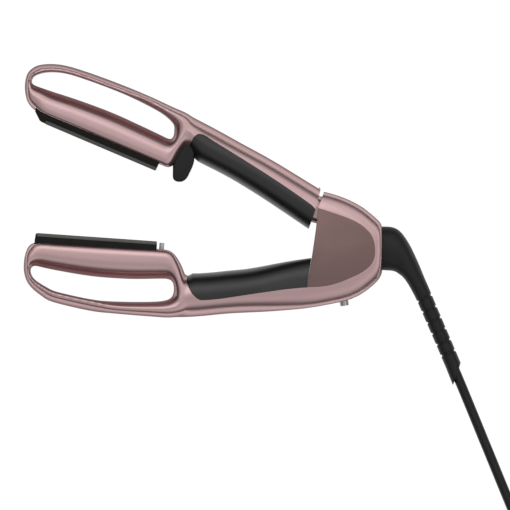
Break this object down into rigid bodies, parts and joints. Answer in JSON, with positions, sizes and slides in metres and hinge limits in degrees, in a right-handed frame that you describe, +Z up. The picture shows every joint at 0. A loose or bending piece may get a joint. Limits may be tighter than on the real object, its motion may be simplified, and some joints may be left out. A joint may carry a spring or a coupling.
{
  "type": "hair straightener",
  "caption": "Hair straightener lying on its side with its arms open: looped heads with heated plates, soft grips, a hinge housing with a power button, and a mains lead with a plug.",
  "frame": {"origin": "on the hinge axis, in the outer face of the side cover that the straightener lies on", "axes": "+X along the lower plate towards the lead, +Y from the lower arm to the upper arm, +Z up, along the hinge pin"},
  "size_m": [0.506, 0.3598, 0.036],
  "materials": {
    "rose_shell": "rose gold satin lacquer over the moulding",
    "mauve_cover": "flat dark rose plate, fine satin",
    "soft_grip": "soft-touch black",
    "carrier_resin": "matt black heat-proof resin",
    "plate_coating": "dark ceramic coating, glossy",
    "white_ceramic": null,
    "spring_steel": "bright steel",
    "sensor_bead": "brown bead",
    "fuse_can": "bare can",
    "grey_stop": "light grey soft stop",
    "heater_wire": "red silicone insulation",
    "mains_core": "brown and blue insulation",
    "board_green": "solder mask",
    "board_part": "black and grey cases",
    "switch_black": "black",
    "silver_button": "satin metal cap",
    "clamp_resin": "black resin",
    "bush_nylon": "natural nylon",
    "lead_rubber": "black flexible jacket",
    "tie_rubber": "dark grey band",
    "plug_resin": "black moulded plug",
    "plug_pin": "nickel-plated pins"
  },
  "bodies": {
    "lower_arm": {"lower_arm_shell": "rose_shell", "lower_grip": "soft_grip", "lower_plate_carrier": "carrier_resin", "lower_plate": "plate_coating", "lower_heater": "white_ceramic", "lower_heater_clip": "spring_steel", "lower_thermistor": "sensor_bead", "lower_thermal_fuse": "fuse_can", "lower_carrier_screws": "spring_steel", "plate_bumper": "grey_stop", "lower_wires": "heater_wire", "left_side_cover": "mauve_cover", "right_side_cover": "mauve_cover", "hinge_pin": "spring_steel", "thrust_washers": "spring_steel", "opening_spring": "spring_steel", "circuit_board": "board_green", "board_parts": "board_part", "power_switch": "switch_black", "lead_clamp": "clamp_resin", "lead_clamp_screws": "spring_steel", "lead_stub": "lead_rubber", "mains_wires": "mains_core", "strain_relief": "lead_rubber", "mains_lead": "lead_rubber", "lead_coil": "lead_rubber", "lead_ties": "tie_rubber", "plug_body": "plug_resin", "plug_pins": "plug_pin"},
    "upper_arm": {"upper_arm_shell": "rose_shell", "upper_grip": "soft_grip", "finger_guard": "soft_grip", "upper_plate_carrier": "carrier_resin", "upper_plate": "plate_coating", "upper_heater": "white_ceramic", "upper_heater_clip": "spring_steel", "upper_thermistor": "sensor_bead", "upper_thermal_fuse": "fuse_can", "upper_carrier_screws": "spring_steel", "upper_wires": "heater_wire", "hinge_bushes": "bush_nylon"},
    "power_button": {"power_button": "silver_button"}
  },
  "joints": [
    {"name": "arm_hinge", "type": "hinge", "parent": "lower_arm", "child": "upper_arm", "pos_m": [0, 0, 0.018], "axis": [0, 0, 1], "range_deg": [0, 19], "stiffness_Nm_per_rad": 0.3, "springref_deg": -17.19},
    {"name": "button_press", "type": "slide", "parent": "lower_arm", "child": "power_button", "axis": [-0.225, 0.9744, 0], "range_m": [0, 0.0008], "stiffness_N_per_m": 400, "springref_m": -0.001}
  ]
}
